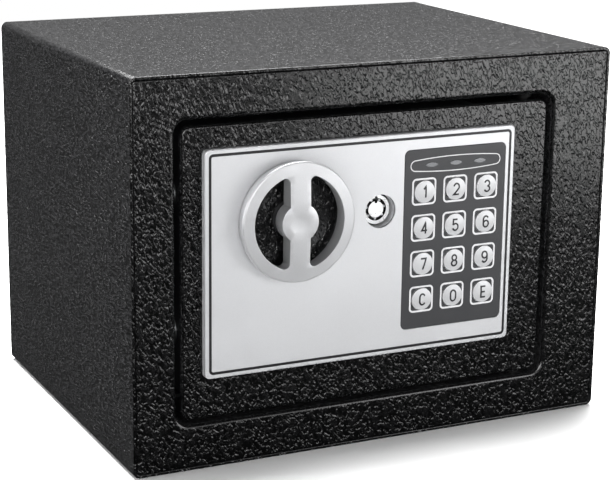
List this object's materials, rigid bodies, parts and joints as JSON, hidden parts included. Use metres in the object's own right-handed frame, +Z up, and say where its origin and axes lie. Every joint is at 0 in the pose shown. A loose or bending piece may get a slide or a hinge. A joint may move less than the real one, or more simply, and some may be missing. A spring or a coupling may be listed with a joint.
{
  "type": "electronic safe",
  "caption": "Small steel safe: folded body, flush hinged door with a keypad, round knob and tubular lock, sliding bolts inside, anchor holes in back and base.",
  "frame": {"origin": "centre of the base, midway between the front face and the back face", "axes": "+X to the right seen from the front, +Y towards the back, +Z up"},
  "size_m": [0.23, 0.187, 0.17],
  "materials": {
    "body_paint": "black wrinkle powder coat",
    "plain_steel": "zinc plated steel",
    "chrome": "bright chrome",
    "brass": "turned brass",
    "silver_plastic": "fine silver lacquer",
    "panel_grey": "dark grey film",
    "print_white": "white screen print",
    "print_black": "black line",
    "lens": "smoked lens",
    "board_green": "green solder mask",
    "black_plastic": "moulded black plastic",
    "red_plastic": "red moulding",
    "wire_cover": "soft wire cover",
    "coil_copper": "lacquered copper winding",
    "cell_jacket": "printed cell jacket",
    "felt": "grey felt"
  },
  "bodies": {
    "cabinet": {"body_shell": "body_paint", "back_panel": "body_paint", "front_frame": "body_paint", "floor_mat": "felt", "hinge_washers": "black_plastic"},
    "door": {"door_panel": "body_paint", "hinge_pins": "body_paint", "hinge_lugs": "body_paint", "cover_posts": "plain_steel", "cover_screws": "plain_steel", "fascia_screws": "plain_steel", "key_switches": "plain_steel", "guide_studs": "plain_steel", "bolt_guide": "plain_steel", "solenoid_frame": "plain_steel", "plunger_spring": "plain_steel", "lock_screws": "plain_steel", "battery_contacts": "plain_steel", "lock_body": "chrome", "board_spacers": "brass", "fascia": "silver_plastic", "keypad_panel": "panel_grey", "panel_print": "print_white", "border_line": "print_black", "led_lenses": "lens", "leds": "lens", "keypad_board": "board_green", "control_board": "board_green", "door_cover": "black_plastic", "battery_box": "black_plastic", "buzzer": "black_plastic", "reset_switch": "black_plastic", "spindle_bush": "black_plastic", "wiring": "wire_cover", "solenoid_coil": "coil_copper", "batteries": "cell_jacket"},
    "knob_unit": {"knob": "silver_plastic", "knob_spindle": "plain_steel", "crank": "plain_steel", "spindle_clip": "plain_steel"},
    "bolts": {"bolt_carriage": "plain_steel", "locking_bolts": "plain_steel"},
    "plunger": {"plunger": "plain_steel"},
    "lock_plug": {"lock_core": "chrome", "lock_pins": "plain_steel", "lock_cam": "plain_steel"},
    "key_1": {"key_1": "silver_plastic"},
    "key_2": {"key_2": "silver_plastic"},
    "key_3": {"key_3": "silver_plastic"},
    "key_4": {"key_4": "silver_plastic"},
    "key_5": {"key_5": "silver_plastic"},
    "key_6": {"key_6": "silver_plastic"},
    "key_7": {"key_7": "silver_plastic"},
    "key_8": {"key_8": "silver_plastic"},
    "key_9": {"key_9": "silver_plastic"},
    "key_c": {"key_c": "silver_plastic"},
    "key_0": {"key_0": "silver_plastic"},
    "key_e": {"key_e": "silver_plastic"},
    "reset_button": {"reset_button": "red_plastic"},
    "battery_cover": {"battery_cover": "black_plastic"}
  },
  "joints": [
    {"name": "door_swing", "type": "hinge", "parent": "cabinet", "child": "door", "pos_m": [0.0735, -0.0815, 0.085], "axis": [0, 0, 1], "range_deg": [0, 105]},
    {"name": "knob_turn", "type": "hinge", "parent": "door", "child": "knob_unit", "pos_m": [-0.0439, -0.088, 0.1063], "axis": [0, -1, 0], "range_deg": [0, 90]},
    {"name": "bolt_slide", "type": "slide", "parent": "door", "child": "bolts", "axis": [-1, 0, 0], "range_m": [0, 0.012]},
    {"name": "plunger_slide", "type": "slide", "parent": "door", "child": "plunger", "axis": [0, 0, -1], "range_m": [0, 0.005], "deforming": ["plunger_spring"]},
    {"name": "lock_turn", "type": "hinge", "parent": "door", "child": "lock_plug", "pos_m": [-0.0023, -0.088, 0.1057], "axis": [0, 1, 0], "range_deg": [0, 90]},
    {"name": "press_1", "type": "slide", "parent": "door", "child": "key_1", "axis": [0, 1, 0], "range_m": [0, 0.0004], "stiffness_N_per_m": 600},
    {"name": "press_2", "type": "slide", "parent": "door", "child": "key_2", "axis": [0, 1, 0], "range_m": [0, 0.0004], "stiffness_N_per_m": 600},
    {"name": "press_3", "type": "slide", "parent": "door", "child": "key_3", "axis": [0, 1, 0], "range_m": [0, 0.0004], "stiffness_N_per_m": 600},
    {"name": "press_4", "type": "slide", "parent": "door", "child": "key_4", "axis": [0, 1, 0], "range_m": [0, 0.0004], "stiffness_N_per_m": 600},
    {"name": "press_5", "type": "slide", "parent": "door", "child": "key_5", "axis": [0, 1, 0], "range_m": [0, 0.0004], "stiffness_N_per_m": 600},
    {"name": "press_6", "type": "slide", "parent": "door", "child": "key_6", "axis": [0, 1, 0], "range_m": [0, 0.0004], "stiffness_N_per_m": 600},
    {"name": "press_7", "type": "slide", "parent": "door", "child": "key_7", "axis": [0, 1, 0], "range_m": [0, 0.0004], "stiffness_N_per_m": 600},
    {"name": "press_8", "type": "slide", "parent": "door", "child": "key_8", "axis": [0, 1, 0], "range_m": [0, 0.0004], "stiffness_N_per_m": 600},
    {"name": "press_9", "type": "slide", "parent": "door", "child": "key_9", "axis": [0, 1, 0], "range_m": [0, 0.0004], "stiffness_N_per_m": 600},
    {"name": "press_c", "type": "slide", "parent": "door", "child": "key_c", "axis": [0, 1, 0], "range_m": [0, 0.0004], "stiffness_N_per_m": 600},
    {"name": "press_0", "type": "slide", "parent": "door", "child": "key_0", "axis": [0, 1, 0], "range_m": [0, 0.0004], "stiffness_N_per_m": 600},
    {"name": "press_e", "type": "slide", "parent": "door", "child": "key_e", "axis": [0, 1, 0], "range_m": [0, 0.0004], "stiffness_N_per_m": 600},
    {"name": "reset_press", "type": "slide", "parent": "door", "child": "reset_button", "axis": [0, -1, 0], "range_m": [0, 0.0012], "stiffness_N_per_m": 400},
    {"name": "battery_cover_lift", "type": "slide", "parent": "door", "child": "battery_cover", "axis": [0, 1, 0], "range_m": [0, 0.015]}
  ],
  "couplings": [
    {"joint": "knob_turn", "follows": "bolt_slide", "rad_per_m": 130.89},
    {"joint": "plunger_slide", "follows": "bolt_slide", "ratio": 0.4166}
  ]
}
